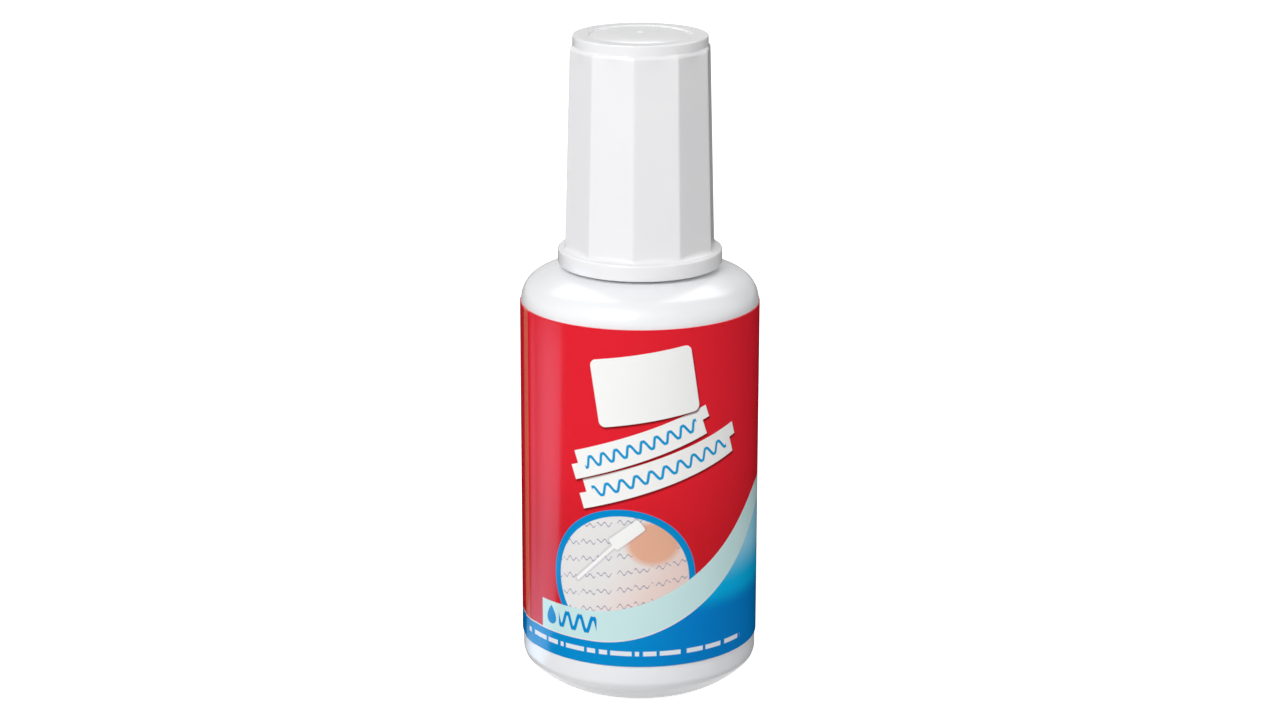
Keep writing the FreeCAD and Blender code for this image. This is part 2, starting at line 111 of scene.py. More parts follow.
def helixRidge(heights, turns, thread):
    # height of a ridge that winds up: 1 on the line z = start + pitch * turned / 360, sloping to 0 on both
    # sides over the flank, and fading in and out over the run-in at its two ends
    turned = turns[None, :] / (2 * np.pi)
    lap = np.round((heights - thread["start"]) / thread["pitch"] - turned)
    along = turned + np.clip(lap, 0, math.floor(thread["laps"]))
    away = np.abs(heights - thread["start"] - thread["pitch"] * along)
    flank = 1 - smoothStep(away, thread["crest"] / 2, thread["crest"] / 2 + thread["flank"])
    ends = smoothStep(along, 0, thread["runIn"]) * smoothStep(thread["laps"] - along, 0, thread["runIn"])
    return flank * ends


def addObject(name, data):
    added = bpy.data.objects.new(name, data)
    bpy.context.scene.collection.objects.link(added)
    return added


def makePiece(name, parts, material, body, node, sharpAngle=50.0):
    # parts is a list of (points in millimetres, faces); together they are one piece that rides on a body
    points, faces, first = [], [], 0
    for place, cells in parts:
        place = place.reshape(-1, 3)
        points.append(place * mm)
        faces += (cells + first).tolist()
        first += len(place)
    mesh = bpy.data.meshes.new(name)
    mesh.from_pydata(np.vstack(points).tolist(), [], faces)
    shape = bmesh.new()
    shape.from_mesh(mesh)
    bmesh.ops.remove_doubles(shape, verts=shape.verts, dist=mergeDistance)
    shape.to_mesh(mesh)
    shape.free()
    mesh.shade_smooth()
    mesh.set_sharp_from_angle(angle=math.radians(sharpAngle))
    mesh.materials.append(material)
    piece = addObject(name, mesh)
    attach(piece, body)
    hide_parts(node)
    return piece


def turnedParts(profile, turns, wrapRows=False):
    # a profile of (radius, height) carried round the axis
    points = around(profile[:, :1], profile[:, 1:], turns)
    return points, gridFaces(len(profile), len(turns), wrapRows)


def makeRing(name, profile, form, material, body, node):
    # a closed outline of (radius, height) carried round the axis
    parts = [turnedParts(profile, evenTurns(form["columns"]), wrapRows=True)]
    makePiece(name, parts, material, body, node)


# finishes

def ink(red, green, blue):
    # a printed colour given as 0 to 255, as the linear values that a shader takes
    share = np.array((red, green, blue)) / 255.0
    linear = np.where(share <= 0.04045, share / 12.92, ((share + 0.055) / 1.055) ** 2.4)
    return (*linear.tolist(), 1.0)


def mathsNode(operation):
    # a method of Wire that adds one Math node
    return lambda wire, *others: wire.maths(operation, *others)


class Wire:
    # an output of a node; sums on it add Math nodes
    def __init__(self, finish, socket):
        self.finish = finish
        self.socket = socket

    def maths(self, operation, *others, clamp=False):
        settings = {"operation": operation, "use_clamp": clamp}
        return self.finish.node("ShaderNodeMath", settings, dict(enumerate((self, *others))))

    __add__ = __radd__ = mathsNode("ADD")
    __sub__ = mathsNode("SUBTRACT")
    __mul__ = __rmul__ = mathsNode("MULTIPLY")
    __truediv__ = mathsNode("DIVIDE")
    __lt__ = mathsNode("LESS_THAN")
    __gt__ = mathsNode("GREATER_THAN")
    __abs__ = mathsNode("ABSOLUTE")
    atLeast = mathsNode("MAXIMUM")
    atMost = mathsNode("MINIMUM")
    softLeast = mathsNode("SMOOTH_MIN")
    root = mathsNode("SQRT")
    sine = mathsNode("SINE")
    turnWith = mathsNode("ARCTAN2")    # the angle whose sine and cosine go as this and the other

    def __rsub__(self, other):
        return (self * -1.0) + other

    def __rtruediv__(self, other):
        return self.maths("POWER", -1.0) * other

    def sawtooth(self, pitch):
        # from 0 to 1 once each pitch
        return (self / pitch).maths("FRACT")

    def rows(self, pitch, half):
        # distance to the nearest of the lines that come once each pitch, less half their width
        return abs(self.sawtooth(pitch) - 0.5) * pitch - half

    def within(self, softness):
        # 1 where the value is under 0, 0 where it is over 0, with an edge of that softness
        return self.maths("MULTIPLY_ADD", -1.0 / softness, 0.5, clamp=True)

    def ramp(self, low, high):
        # 0 up to low, 1 from high on, smooth between
        inputs = {"Value": self, "From Min": low, "From Max": high}
        return self.finish.node("ShaderNodeMapRange", {"interpolation_type": "SMOOTHSTEP"}, inputs)


class Graph:
    # a tree of nodes that ends in one shader, whose fixed values are given by name
    def __init__(self, tree, shaderName, fixed):
        self.tree = tree
        self.shader = tree.nodes[shaderName]
        for socketName, number in fixed.items():
            self.shader.inputs[socketName].default_value = number

    def node(self, kind, settings, inputs, output=0):
        # adds a node: its settings first, then the values or links of its sockets
        added = self.tree.nodes.new(kind)
        for setting, choice in settings.items():
            setattr(added, setting, choice)
        for socketName, given in inputs.items():
            if isinstance(given, Wire):
                self.tree.links.new(given.socket, added.inputs[socketName])
            else:
                added.inputs[socketName].default_value = given
        return Wire(self, added.outputs[output])

    def feed(self, **wires):
        for socketName, wire in wires.items():
            self.tree.links.new(wire.socket, self.shader.inputs[socketName.replace("_", " ")])

    def outputs(self, wire):
        return [Wire(self, socket) for socket in wire.socket.node.outputs]

    def mix(self, share, first, second):
        return self.node("ShaderNodeMix", {"data_type": "RGBA"}, {0: share, 6: first, 7: second}, 2)

    def seen(self, inGloss=1.0):
        # 1 for rays from the camera and through glass, the given value for those from gloss, 0 for light
        rays = ("Is Camera Ray", "Is Glossy Ray", "Is Transmission Ray")
        looked, mirrored, through = (self.node("ShaderNodeLightPath", {}, {}, ray) for ray in rays)
        return looked.atLeast(mirrored * inGloss).atLeast(through)


class Finish(Graph):
    # a material round one Principled BSDF
    def __init__(self, name, fixed):
        self.material = bpy.data.materials.new(name)
        self.material.use_nodes = True
        super().__init__(self.material.node_tree, "Principled BSDF", fixed)

    def place(self):
        # the point's place on the piece, in millimetres
        where = self.node("ShaderNodeTexCoord", {}, {}, "Object")
        return self.node("ShaderNodeVectorMath", {"operation": "SCALE"}, {0: where, "Scale": 1 / mm})

    def split(self, vector):
        return self.outputs(self.node("ShaderNodeSeparateXYZ", {}, {0: vector}))

    def noise(self, where, scale, detail=2.0):
        return self.node("ShaderNodeTexNoise", {}, {"Vector": where, "Scale": scale, "Detail": detail})

    def twoTones(self, drift, gloss, look):
        # from one tone to the other where the drift turns, with a roughness that follows the gloss
        turn = look.get("toneTurn", toneTurn)
        self.feed(
            Base_Color=self.mix(drift.ramp(*turn), ink(*look["tone"]), ink(*look["otherTone"])),
            Roughness=gloss * look["roughnessSpread"] + look["roughness"],
        )

    def bump(self, height, strength, distance):
        inputs = {"Height": height, "Strength": strength, "Distance": distance * mm}
        self.feed(Normal=self.node("ShaderNodeBump", {}, inputs))


def plasticFinish(name, look):
    # moulded plastic: slow drift between two tones, finer drift in its gloss, and a soft skin
    finish = Finish(name, {"Specular IOR Level": look["shine"], "IOR": 1.5})
    where = finish.place()
    slow = finish.noise(where, look["toneScale"])
    fine = finish.noise(where, look["skinScale"], 3.0)
    finish.twoTones(slow, fine, look)
    finish.bump(fine, look["skinStrength"], look["skinDepth"])
    return finish.material


# bottle

bottleForm = {
    "radius": 14.78, "wall": 1.1, "cornerRadius": 1.9, "heelRadius": 11.5, "floorEdge": 6.03,
    "pushUpEdge": 4.23, "pushUpDepth": 0.9, "shoulderStart": 50.2, "shoulderCorner": 3.4,
    "shoulderCrown": 13.0, "shoulderTop": 54.607, "neckRadius": 6.5, "neckBore": 5.2, "neckTop": 65.207,
    "neckFoot": 0.6, "seamTurn": 90.0, "seamHeight": 0.035, "seamWidth": 0.14, "pinchHeight": 0.16,
    "pinchWidth": 0.35, "pinchFade": (0.3, 2.0), "seamFade": 2.0, "rimDrop": 0.6, "rimRound": 0.25,
    "innerRound": 0.3, "threadDepth": 0.62, "neckRows": 84, "columns": 240,
    "thread": {"start": 57.5, "pitch": 3.0, "laps": 1.6, "crest": 0.45, "flank": 0.42, "runIn": 0.1},
}
bottleLook = {
    "tone": (246, 247, 249), "otherTone": (244, 245, 247), "toneScale": 0.06, "skinScale": 2.2,
    "shine": 0.5, "roughness": 0.2, "roughnessSpread": 0.1, "skinStrength": 0.12, "skinDepth": 0.02,
}


def baseProfile(form, inset):
    # push-up dome, flat ring, heel arc and corner arc, inset from the outside, from the axis outwards
    domeRadius = (form["pushUpEdge"] ** 2 + form["pushUpDepth"] ** 2) / (2 * form["pushUpDepth"])
    domeCentre = form["pushUpDepth"] - domeRadius
    domeTurn = math.degrees(math.acos((inset - domeCentre) / (domeRadius + inset)))
    bend = form["heelRadius"] - form["cornerRadius"]
    meet = math.degrees(math.acos((form["radius"] - form["floorEdge"] - form["cornerRadius"]) / bend))
    cornerUp = form["heelRadius"] - bend * math.sin(math.radians(meet))
    return chain(
        arc(0, domeCentre, domeRadius + inset, 90, 90 - domeTurn, 22),
        arc(form["floorEdge"], form["heelRadius"], form["heelRadius"] - inset, -90, -meet, 14),
        arc(form["radius"] - form["cornerRadius"], cornerUp, form["cornerRadius"] - inset, -meet, 0, 12),
    )


def shoulderProfile(form, inset):
    # corner arc up from the wall, then a flatter crown arc that ends level at the foot of the neck
    foot = form["neckRadius"] + form["neckFoot"]
    bend = form["shoulderCrown"] - form["shoulderCorner"]
    across = form["radius"] - form["shoulderCorner"]
    meet = math.degrees(math.acos((across - foot) / bend))
    crownCentre = form["shoulderStart"] - bend * math.sin(math.radians(meet))
    return chain(
        arc(across, form["shoulderStart"], form["shoulderCorner"] - inset, 0, meet, 20),
        arc(foot, crownCentre, form["shoulderCrown"] - inset, meet, 90, 20),
    )


def makeBottle(form, material):
    neckFoot = form["neckRadius"] + form["neckFoot"]
    innerTop = form["shoulderTop"] - form["wall"]
    base = baseProfile(form, 0.0)
    wall = line(base[-1], (form["radius"], form["shoulderStart"]), 12)
    shoulder = shoulderProfile(form, 0.0)
    foot = arc(neckFoot, form["shoulderTop"] + form["neckFoot"], form["neckFoot"], -90, -180, 7)
    neckSide = line(foot[-1], (form["neckRadius"], form["neckTop"] - form["rimDrop"] / 2), form["neckRows"])
    bore, rimLow = form["neckBore"], form["neckTop"] - form["rimDrop"]
    rim = rounded([
        neckSide[-1], (form["neckRadius"], form["neckTop"]), (bore, form["neckTop"]), (bore, rimLow),
    ], form["rimRound"])
    bend = form["innerRound"]
    inside = chain(
        line((bore, rimLow - 0.1), (bore, innerTop + bend), 4),
        arc(bore + bend, innerTop + bend, bend, 180, 270, 4),
        shoulderProfile(form, form["wall"])[::-1],
        baseProfile(form, form["wall"])[::-1],
    )
    profile = chain(base, wall, shoulder, foot, neckSide, rim, inside)
    turns = evenTurns(form["columns"])
    outside = (np.arange(len(profile)) < len(profile) - len(inside) - len(rim))[:, None]
    onNeck = outside & (np.abs(profile[:, :1] - form["neckRadius"]) < shortestStep)
    thread = form["threadDepth"] * helixRidge(profile[:, 1:], turns, form["thread"])
    radii = profile[:, :1] + onNeck * thread
    # moulding seam: a low ridge exp(-(d / width)^2) on the shoulder at each side of the mould
    fromSeam = np.abs(np.abs(np.degrees(turns)[None, :] - 180) - form["seamTurn"])
    ridge = np.exp(-(np.radians(fromSeam) * radii / form["seamWidth"]) ** 2)
    onShoulder = outside & ~onNeck & (profile[:, 1:] > form["shoulderStart"])
    lean = smoothStep(profile[:, :1], form["neckRadius"], form["neckRadius"] + form["seamFade"])
    heights = profile[:, 1:] + onShoulder * form["seamHeight"] * ridge * lean
    # pinch-off line: the same ridge straight across the push-up, under the base
    sideways = np.abs(radii * np.cos(turns)[None, :])
    underBase = outside & (profile[:, 1:] <= form["pushUpDepth"]) & (profile[:, :1] < form["pushUpEdge"])
    fade = smoothStep(form["pushUpEdge"] - radii, *form["pinchFade"])
    heights -= underBase * form["pinchHeight"] * np.exp(-(sideways / form["pinchWidth"]) ** 2) * fade
    parts = [(around(radii, heights, turns), gridFaces(len(profile), len(turns)))]
    makePiece("bottleBody", parts, material, "bottle", "bottle")


makeBottle(bottleForm, plasticFinish("bottlePlastic", bottleLook))
print("bottle made")


# label

labelForm = {
    "inner": bottleForm["radius"] + 0.02, "thickness": 0.12, "bottom": 6.85,
    "top": bottleForm["shoulderStart"] - 0.15, "edge": 0.04, "seamTurn": -73.0, "strip": 12.0,
    "stepTurn": 0.6, "slopeTurns": (-4.0, 2.0), "columns": 480, "rows": 24,
    "edgeRows": (0.0, 0.03, 0.08, 0.2, 0.5),
}
# places on the film: across runs along it from the middle of its front, up from just below its edge
labelPrint = {
    "radius": 14.98, "foot": 0.79, "stretch": 1.0087, "softness": 0.07,
    "red": (230, 33, 49), "lowRed": (211, 29, 41), "redFall": (19.0, 34.0),
    "bandBlue": (0, 141, 209), "deepBlue": (0, 127, 205), "deepening": (-4.0, 10.0),
    "cyan": (0, 180, 233), "cyanRise": (12.2, 15.3), "paleBlue": (150, 216, 240), "paleRise": (15.3, 20.5),
    "brightening": (2.0, 10.0), "aqua": (203, 234, 234), "aquaEdge": (240, 232, 230), "aquaEdgeWidth": 0.16,
    "white": (248, 248, 246), "shadow": (104, 12, 10), "writing": (22, 156, 214), "grey": (132, 130, 160),
    "paper": (233, 232, 231), "paperWarm": (238, 214, 206), "warm": (231, 176, 148),
    "seam": -19.09, "seamWidth": 1.75, "seamBrown": (226, 100, 80), "seamSoftness": 0.12, "bandTop": 9.28,
    "swooshStart": -14.1, "blend": 6.0, "farEnd": 70.0, "farRise": 0.0213,
    "upper": {"start": -7.5, "rise": 0.0213, "foot": 13.1, "most": 27.3, "blend": 6.0},
    "lower": {"start": -6.0, "rise": 0.0228, "foot": 9.28, "most": 24.5, "blend": 5.0},
    "ring": {"across": -2.13, "up": 17.4, "radius": 9.37, "width": 0.88},
    "warmth": {"across": 0.09, "up": -0.07, "middle": 0.35},
    "scrawl": {"tilt": 0.17, "ripples": ((6.5, 0.24), (2.9, 0.12)), "pitch": 2.2, "half": 0.09,
               "share": 0.75},
    "words": {"pitch": 2.9, "slant": 1.3, "gap": 0.2, "steep": 3.0},
    "field": {"across": 3.9, "up": 5.0, "radius": 2.8, "squash": 0.7, "softness": 0.9},
    "bar": {"across": 0.6, "up": 6.1, "tilt": 38.0, "half": (2.3, 0.85), "corner": 0.3},
    "thinBar": {"across": -3.4, "up": 2.2, "tilt": 45.0, "half": (3.6, 0.22), "corner": 0.2},
    "barShadow": {"width": 0.15, "softness": 0.4, "share": 0.4},
    "plate": {"across": 0.7, "up": 42.4, "tilt": 9.0, "half": (6.4, 4.3), "corner": 0.8},
    "strips": (
        {"across": 2.9, "up": 31.55, "tilt": 17.6, "half": (10.55, 1.86), "corner": 0.08, "torn": (0.15, 0.5),
         "period": 1.9, "reach": 9.2},
        {"across": 0.15, "up": 34.85, "tilt": 19.2, "half": (8.95, 1.78), "corner": 0.08, "torn": (0.15, 0.5),
         "period": 1.75, "reach": 7.6},
    ),
    "stripWave": {"height": 0.62, "thickness": 0.36},
    "paperShadow": {"across": 0.14, "up": -0.26, "softness": 0.3, "share": 0.9},
    "dashes": {"up": 7.85, "half": 0.3, "from": -17.5, "to": 15.0, "steep": 3.0, "share": 0.85,
               "gaps": ((5.6, 0.0, 0.09), (3.1, 0.3, 0.13))},
    "drop": {"across": -12.3, "up": 10.1, "height": 2.5, "width": 2.1},
    "mark": {"across": -8.2, "up": 11.25},
    "markWave": {"reach": 2.8, "period": 1.87, "height": 0.85, "thickness": 0.5},
    "panel": {"across": 47.0, "up": 28.0, "tilt": 0.0, "half": (11.5, 15.5), "corner": 1.2},
    "bars": {"pitch": 1.7, "half": 0.3, "length": 4.3, "shift": 2.6, "gap": 0.12, "steep": 4.0, "margin": 1.4,
             "share": 0.7},
    "skin": {"scale": 0.12, "detail": 1.0, "strength": 0.06, "depth": 0.3},
}


def makeLabel(form, material):
    # closed shell of film: its radius is raised by one thickness over the seam strip, sharply at the strip's
    # free edge and in a slope at its other end
    turns = evenTurns(form["columns"])
    outer = form["inner"] + form["thickness"]
    fromSeam = (np.degrees(turns) - form["seamTurn"]) % 360
    slopeStart, slopeEnd = (form["strip"] + turn for turn in form["slopeTurns"])
    lift = np.clip(fromSeam / form["stepTurn"], 0, 1) * (1 - smoothStep(fromSeam, slopeStart, slopeEnd))
    low, high = form["bottom"] + form["edge"], form["top"] - form["edge"]
    close = np.array(form["edgeRows"])
    heights = np.concatenate((low + close, np.linspace(low + 1, high - 1, form["rows"]), high - close[::-1]))
    side = np.column_stack((np.full(len(heights), outer), heights))
    loop = chain(
        [(form["inner"], form["bottom"])], [(outer - form["edge"], form["bottom"])], side,
        [(outer - form["edge"], form["top"])], [(form["inner"], form["top"])],
    )
    outward = (loop[:, :1] > form["inner"] + shortestStep)
    points = around(loop[:, :1] + outward * form["thickness"] * lift[None, :], loop[:, 1:], turns)
    parts = [(points, gridFaces(len(loop), len(turns), wrapRows=True))]
    makePiece("labelFilm", parts, material, "bottle", "label")


def tiltedBox(across, up, box):
    # signed distance to a turned rectangle with rounded corners: |max(q, 0)| + min(max(qx, qy), 0) - r,
    # where q = |p| - half size + r; torn paper is split along a line, and its two sides are stepped apart
    turn = math.radians(box["tilt"])
    fromMiddle, above = across - box["across"], up - box["up"]
    along = fromMiddle * math.cos(turn) + above * math.sin(turn)
    aside = above * math.cos(turn) - fromMiddle * math.sin(turn)
    corner = box["corner"]
    split, step = box.get("torn", (0.0, 0.0))
    stepped = along - ((aside > split) * 2.0 - 1.0) * step if step else along
    q1 = abs(stepped) - (box["half"][0] - corner)
    q2 = abs(aside) - (box["half"][1] - corner)
    far = (q1.atLeast(0.0) * q1.atLeast(0.0) + q2.atLeast(0.0) * q2.atLeast(0.0)).root()
    return far + q1.atLeast(q2).atMost(0.0) - corner, along, aside


def wave(along, aside, reach, period, height, thickness):
    # a line aside = height sin(2 pi along / period) of even thickness: its distance is divided by the slope
    phase = along * (2 * math.pi / period)
    slope = phase.maths("COSINE") * (height * 2 * math.pi / period)
    away = abs(aside - phase.sine() * height) / (slope * slope + 1.0).root() - thickness / 2
    return away.atLeast(abs(along) - reach)


def makeLabelPrint(look):
    finish = Finish("labelFilm", {"Specular IOR Level": 0.2, "IOR": 1.5, "Roughness": 0.16})
    where = finish.place()
    x, y, height = finish.split(where)
    z = (height - look["foot"]) * look["stretch"]
    arcLength = x.turnWith(y * -1.0) * look["radius"]
    # along the film, from the seam round to the seam
    w = arcLength + (arcLength < look["seam"]) * (2 * math.pi * look["radius"])
    soft = look["softness"]

    def over(below, mask, colour):
        return finish.mix(mask, below, colour if isinstance(colour, Wire) else ink(*colour))

    def swooshEdge(edge, far):
        # foot + rise * distance^2, levelling off at the most, and met by the same curve from the far side
        reach = (w - edge["start"]).atLeast(0.0)
        near = (reach * reach * edge["rise"] + edge["foot"]).softLeast(edge["most"], edge["blend"])
        return near.softLeast(far, look["blend"])

    beyond = (look["farEnd"] - w).atLeast(0.0)
    farSide = beyond * beyond * look["farRise"] + look["bandTop"]
    upper, lower = swooshEdge(look["upper"], farSide), swooshEdge(look["lower"], farSide)

    # round window: paper with rows of grey scrawl, a warm field and a white bar, in a blue ring
    ring = look["ring"]
    sideways, above = w - ring["across"], z - ring["up"]
    fromCentre = (sideways * sideways + above * above).root()
    warmth = look["warmth"]
    warm = (sideways * warmth["across"] + above * warmth["up"] + warmth["middle"]).ramp(0.0, 1.0)
    paper = finish.mix(warm, ink(*look["paper"]), ink(*look["paperWarm"]))
    scrawl, words = look["scrawl"], look["words"]
    level = above - sideways * scrawl["tilt"]
    for often, ripple in scrawl["ripples"]:
        level = level + (sideways * often).sine() * ripple
    inWord = (sideways + above * words["slant"]).sawtooth(words["pitch"]) - words["gap"]
    stroke = level.rows(scrawl["pitch"], scrawl["half"]).atLeast(inWord * -words["steep"])
    paper = over(paper, stroke.within(soft) * scrawl["share"], look["grey"])
    field = look["field"]
    across, up = sideways - field["across"], above - field["up"]
    away = (across * across * field["squash"] + up * up).root() - field["radius"]
    paper = over(paper, away.within(field["softness"]), look["warm"])
    bar = tiltedBox(sideways, above, look["bar"])[0].atMost(tiltedBox(sideways, above, look["thinBar"])[0])
    shadow = look["barShadow"]
    paper = over(paper, (bar - shadow["width"]).within(shadow["softness"]) * shadow["share"], look["grey"])
    paper = over(paper, bar.within(soft), look["white"])
    inRing = (fromCentre - ring["radius"] + ring["width"]).within(soft)
    picture = finish.mix(inRing, ink(*look["bandBlue"]), paper)
    # the red turns darker towards the bottom of the label, from red above redFall to lowRed below it
    red = finish.mix(z.ramp(*look["redFall"]), ink(*look["lowRed"]), ink(*look["red"]))
    red = over(red, (fromCentre - ring["radius"]).within(soft), picture)

    # torn strips and plate, each with a dark print shadow
    def paperShape(below, box):
        shadow = look["paperShadow"]
        darker, _, _ = tiltedBox(w - shadow["across"], z - shadow["up"], box)
        shape, along, aside = tiltedBox(w, z, box)
        below = over(below, darker.within(shadow["softness"]) * shadow["share"], look["shadow"])
        return over(below, shape.within(soft), look["white"]), along, aside

    for strip in look["strips"]:
        red, along, aside = paperShape(red, strip)
        stroke = wave(along, aside, strip["reach"], strip["period"], **look["stripWave"])
        red = over(red, stroke.within(soft), look["writing"])
    red, _, _ = paperShape(red, look["plate"])

    # swoosh with a pale lower edge, and the blue field below it with its row of dashes
    light = w.ramp(*look["brightening"])
    blue = finish.mix(w.ramp(*look["deepening"]), ink(*look["bandBlue"]), ink(*look["deepBlue"]))
    blue = over(blue, z.ramp(*look["cyanRise"]) * light, look["cyan"])
    blue = over(blue, z.ramp(*look["paleRise"]) * light, look["paleBlue"])
    dashes = look["dashes"]
    stroke = (abs(z - dashes["up"]) - dashes["half"]).atLeast((w - dashes["to"]).atLeast(dashes["from"] - w))
    for pitch, shift, gap in dashes["gaps"]:
        stroke = stroke.atLeast(((w + shift * pitch).sawtooth(pitch) - gap) * -dashes["steep"])
    blue = over(blue, stroke.within(soft) * dashes["share"], look["white"])
    printed = over(red, (z - upper).within(soft) * (look["swooshStart"] - w).within(soft), look["aqua"])
    printed = over(printed, (z - lower).within(soft), look["aquaEdge"])
    printed = over(printed, (z - lower + look["aquaEdgeWidth"]).within(soft), blue)

    # drop and a short wave on the swoosh; the drop's half width is width sqrt(share) (1 - share)
    drop, mark = look["drop"], look["mark"]
    share = ((z - drop["up"]) / drop["height"]).atLeast(0.0).atMost(1.0)
    shape = abs(w - drop["across"]) - share.root() * (1.0 - share) * drop["width"]
    shape = shape.atLeast(drop["up"] - z).atLeast(z - drop["up"] - drop["height"])
    stroke = wave(w - mark["across"], z - mark["up"], **look["markWave"])
    printed = over(printed, shape.atMost(stroke).within(soft), look["bandBlue"])

    # plain panel with rows of short bars on the back
    panel, along, aside = tiltedBox(w, z, look["panel"])
    printed = over(printed, panel.within(soft), look["white"])
    bars = look["bars"]
    rowNumber = (aside / bars["pitch"]).maths("FLOOR")
    inBar = (along + rowNumber * bars["shift"]).sawtooth(bars["length"]) - bars["gap"]
    bar = aside.rows(bars["pitch"], bars["half"]).atLeast(inBar * -bars["steep"])
    bar = bar.atLeast(panel + bars["margin"])
    printed = over(printed, bar.within(soft) * bars["share"], look["grey"])

    halfSeam = look["seamWidth"] / 2
    seam = (abs(w - look["seam"] - halfSeam) - halfSeam).within(look["seamSoftness"])
    printed = over(printed, seam * (look["bandTop"] - z).within(soft), look["seamBrown"])
    skin = look["skin"]
    finish.feed(Base_Color=printed)
    finish.bump(finish.noise(where, skin["scale"], skin["detail"]), skin["strength"], skin["depth"])
    return finish.material


makeLabel(labelForm, makeLabelPrint(labelPrint))
print("label made")


# wiper plug, washer, fluid and ball

wiperForm = {
    "flange": 6.3, "thickness": 0.6, "plug": 5.15, "inner": 4.55, "hole": 2.35, "depth": 4.2,
    "funnelDrop": 1.8, "lip": 0.5, "round": 0.14, "columns": 120,
}
wiperLook = {
    "tone": (228, 233, 236), "otherTone": (234, 238, 240), "toneScale": 0.2, "skinScale": 3.0,
    "shine": 0.5, "roughness": 0.26, "roughnessSpread": 0.12, "skinStrength": 0.1, "skinDepth": 0.02,
}
washerForm = {
    "hole": 2.25, "radius": 6.8, "bottom": bottleForm["neckTop"] + wiperForm["thickness"], "thickness": 1.0,
    "dent": 0.05, "dentEdge": (0.3, 0.5), "round": 0.12, "columns": 120,
}
washerLook = {
    "tone": (228, 228, 224), "otherTone": (238, 238, 235), "toneScale": 1.1, "skinScale": 7.0,
    "shine": 0.3, "roughness": 0.6, "roughnessSpread": 0.2, "skinStrength": 0.7, "skinDepth": 0.06,
}
ballForm = {"across": 6.03, "up": 3.7, "radius": 2.5, "rows": 36, "columns": 72}
ballLook = {"roughness": 0.05, "roughnessSpread": 0.16, "stainScale": 1.2}
fluidForm = {
    "gap": 1.15, "ballGap": 0.1, "well": 2.5, "level": 36.0, "wellFloor": 2.55, "rise": 0.5, "riseReach": 0.8,
    "wellEdge": 0.1, "skirt": 0.4, "columns": 160,
}
fluidLook = {
    "tone": (249, 249, 246), "otherTone": (245, 245, 242), "toneScale": 0.15, "skinScale": 0.7,
    "shine": 0.6, "roughness": 0.12, "roughnessSpread": 0.12, "skinStrength": 0.15, "skinDepth": 0.05,
}


def makeWiper(form, neckTop, material):
    # flange on the rim, plug, funnel and lip, as one closed outline carried round the axis
    top = neckTop + form["thickness"]
    funnelTop = top - form["depth"]
    funnelEnd = funnelTop - form["funnelDrop"]
    plug = form["plug"]
    profile = rounded([
        (plug, neckTop - 2.0), (plug, neckTop), (form["flange"], neckTop), (form["flange"], top),
        (form["inner"], top), (form["inner"], funnelTop), (form["hole"], funnelEnd),
        (form["hole"], funnelEnd - form["lip"]), (plug, funnelTop - form["lip"]), (plug, neckTop - 2.1),
    ], form["round"])
    makeRing("neckWiper", profile, form, material, "bottle", "neck_wiper")


def makeWasher(form, material):
    # a ring whose upper face is pressed in by dent where the disc bears on it
    middle = (form["hole"] + form["radius"]) / 2
    top = form["bottom"] + form["thickness"]
    outer, inner = (form["radius"] - edge for edge in form["dentEdge"])
    profile = rounded([
        (middle, form["bottom"]), (form["radius"], form["bottom"]), (form["radius"], top), (outer, top),
        (inner, top - form["dent"]), (form["hole"], top - form["dent"]), (form["hole"], form["bottom"]),
        (middle - 0.01, form["bottom"]),
    ], form["round"])
    makeRing("capWasher", profile, form, material, "liner", "cap_liner")


def makeFluid(form, bottle, ball, material):
    # the bottle's inside up to the level, which climbs at the wall by rise * exp(-distance / riseReach)
    well, floor, edge = form["well"], form["wellFloor"], form["wellEdge"]
    base = baseProfile(bottle, form["gap"])
    base = base[base[:, 0] > well + 2 * edge]
    wall = bottle["radius"] - form["gap"]
    surface = line((wall, form["level"] - form["rise"]), (well, form["level"] - form["rise"]), 40)
    surface[:, 1] += form["rise"] * np.exp(-(wall - surface[:, 0]) / form["riseReach"])
    profile = chain(
        [(well, floor + edge)], [(well + edge, floor)], base, line(base[-1], surface[0], 6), surface,
        line(surface[-1], (well, floor + 2 * edge), 6),
    )
    points, faces = turnedParts(profile, evenTurns(form["columns"]), wrapRows=True)
    # round pocket: points inside the sphere about the ball are pushed out to its surface, upwards
    radius = ball["radius"] + form["ballGap"]
    beside = (points[..., 0] - ball["across"]) ** 2 + points[..., 1] ** 2
    reach = np.sqrt(np.maximum(radius ** 2 - beside, 0))
    above = points[..., 2] - ball["up"]
    inside = (beside < radius ** 2) & (above < reach) & (above > -reach - form["skirt"])
    onFloor = np.arange(len(profile))[:, None] <= len(base)
    points[..., 2] = np.where(inside & onFloor, ball["up"] + reach, points[..., 2])
    makePiece("whiteFluid", [(points, faces)], material, "bottle", "correction_fluid")


def makeBall(form, material):
    # a sphere from arcs of (radius, height), moved off the axis
    profile = arc(0, form["up"], form["radius"], -90, 90, form["rows"])
    profile[[0, -1], 0] = 0.0
    points, faces = turnedParts(profile, evenTurns(form["columns"]))
    points = points + np.array((form["across"], 0.0, 0.0))
    makePiece("mixingBall", [(points, faces)], material, "bottle", "mixing_ball")


steelTones = {"tone": (205, 207, 211), "otherTone": (226, 228, 230), "toneTurn": (0.35, 0.7)}


def steelFinish(name, look):
    # bare steel with fine stains in its gloss
    finish = Finish(name, {"Metallic": 1.0})
    stains = finish.noise(finish.place(), look["stainScale"], 4.0)
    finish.twoTones(stains, stains, {**steelTones, **look})
    return finish.material


